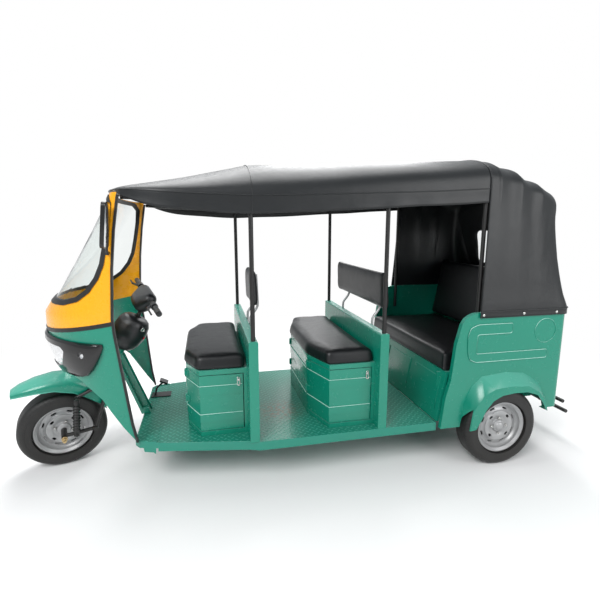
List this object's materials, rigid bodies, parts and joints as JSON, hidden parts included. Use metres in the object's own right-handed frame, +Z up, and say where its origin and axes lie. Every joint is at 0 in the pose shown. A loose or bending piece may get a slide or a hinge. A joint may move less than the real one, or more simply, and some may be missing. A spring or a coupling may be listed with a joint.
{
  "type": "electric auto rickshaw",
  "caption": "Three-wheeled passenger auto rickshaw with a steered front wheel, bench seats over storage boxes, a windscreen fairing and a folding vinyl canopy.",
  "frame": {"origin": "on the ground at the middle of the vehicle's length and width, steering as parked", "axes": "+X forward, +Y to the vehicle's left, +Z up"},
  "size_m": [3.67, 1.384, 1.943],
  "materials": {
    "green_paint": "gloss",
    "yellow_paint": "gloss",
    "black_paint": "satin",
    "window_glass": "clear",
    "black_rubber": "satin",
    "black_plastic": "gloss",
    "lamp_glass": "clear",
    "grey_plastic": "satin",
    "black_vinyl": "grained satin",
    "red_lens": "gloss",
    "silver_steel": "satin",
    "tyre_rubber": "matte"
  },
  "bodies": {
    "chassis": {"chassis_frame": "black_paint", "floor": "green_paint", "front_fairing": "green_paint", "windscreen_surround": "yellow_paint", "windscreen": "window_glass", "fairing_trim": "black_rubber", "headlamp_housings": "black_plastic", "headlamp_lenses": "lamp_glass", "steering_cowl": "grey_plastic", "column_bracket": "green_paint", "brake_pedal": "black_paint", "driver_seat_box": "green_paint", "driver_cushion": "black_vinyl", "driver_backrest": "black_vinyl", "middle_seat_box": "green_paint", "middle_cushion": "black_vinyl", "middle_backrest": "black_vinyl", "bench_walls": "green_paint", "canopy_frame": "black_paint", "roof_canopy": "black_vinyl", "rear_hood": "black_vinyl", "rear_body": "green_paint", "rear_seat_base": "green_paint", "rear_cushion": "black_vinyl", "rear_backrest": "black_vinyl", "tail_lamps": "red_lens", "rear_bumper": "black_paint", "mirrors": "black_plastic", "rear_axle": "black_paint", "leaf_springs": "black_paint", "battery_pack": "grey_plastic"},
    "steering": {"front_fork": "black_paint", "front_shocks": "black_rubber", "front_mudguard": "green_paint", "handlebar": "grey_plastic"},
    "front_wheel": {"front_tyre": "tyre_rubber", "front_rim": "silver_steel"},
    "rear_left_wheel": {"rear_left_tyre": "tyre_rubber", "rear_left_rim": "silver_steel"},
    "rear_right_wheel": {"rear_right_tyre": "tyre_rubber", "rear_right_rim": "silver_steel"},
    "driver_door_l": {"driver_door_left": "green_paint"},
    "driver_door_r": {"driver_door_right": "green_paint"},
    "middle_door_l": {"middle_door_left": "green_paint"},
    "middle_door_r": {"middle_door_right": "green_paint"}
  },
  "joints": [
    {"name": "steering", "type": "hinge", "parent": "chassis", "child": "steering", "pos_m": [1.63342, 0, 0.00524], "axis": [-0.5, 0, 0.866], "range_deg": [-60, 20]},
    {"name": "front_wheel_spin", "type": "hinge", "parent": "steering", "child": "front_wheel", "pos_m": [1.57905, 0.02863, 0.25672], "axis": [-0.2962, 0.9397, -0.171], "continuous": true},
    {"name": "rear_left_wheel_spin", "type": "hinge", "parent": "chassis", "child": "rear_left_wheel", "pos_m": [-1.15658, 0.605, 0.254], "axis": [0, 1, 0], "continuous": true},
    {"name": "rear_right_wheel_spin", "type": "hinge", "parent": "chassis", "child": "rear_right_wheel", "pos_m": [-1.15658, -0.605, 0.254], "axis": [0, 1, 0], "continuous": true},
    {"name": "driver_door_left_hinge", "type": "hinge", "parent": "chassis", "child": "driver_door_l", "pos_m": [0.79542, 0.274, 0.559], "axis": [0, 0, -1], "range_deg": [0, 95]},
    {"name": "driver_door_right_hinge", "type": "hinge", "parent": "chassis", "child": "driver_door_r", "pos_m": [0.79542, -0.274, 0.559], "axis": [0, 0, 1], "range_deg": [0, 95]},
    {"name": "middle_door_left_hinge", "type": "hinge", "parent": "chassis", "child": "middle_door_l", "pos_m": [0.03242, 0.274, 0.559], "axis": [0, 0, -1], "range_deg": [0, 95]},
    {"name": "middle_door_right_hinge", "type": "hinge", "parent": "chassis", "child": "middle_door_r", "pos_m": [0.03242, -0.274, 0.559], "axis": [0, 0, 1], "range_deg": [0, 95]}
  ]
}
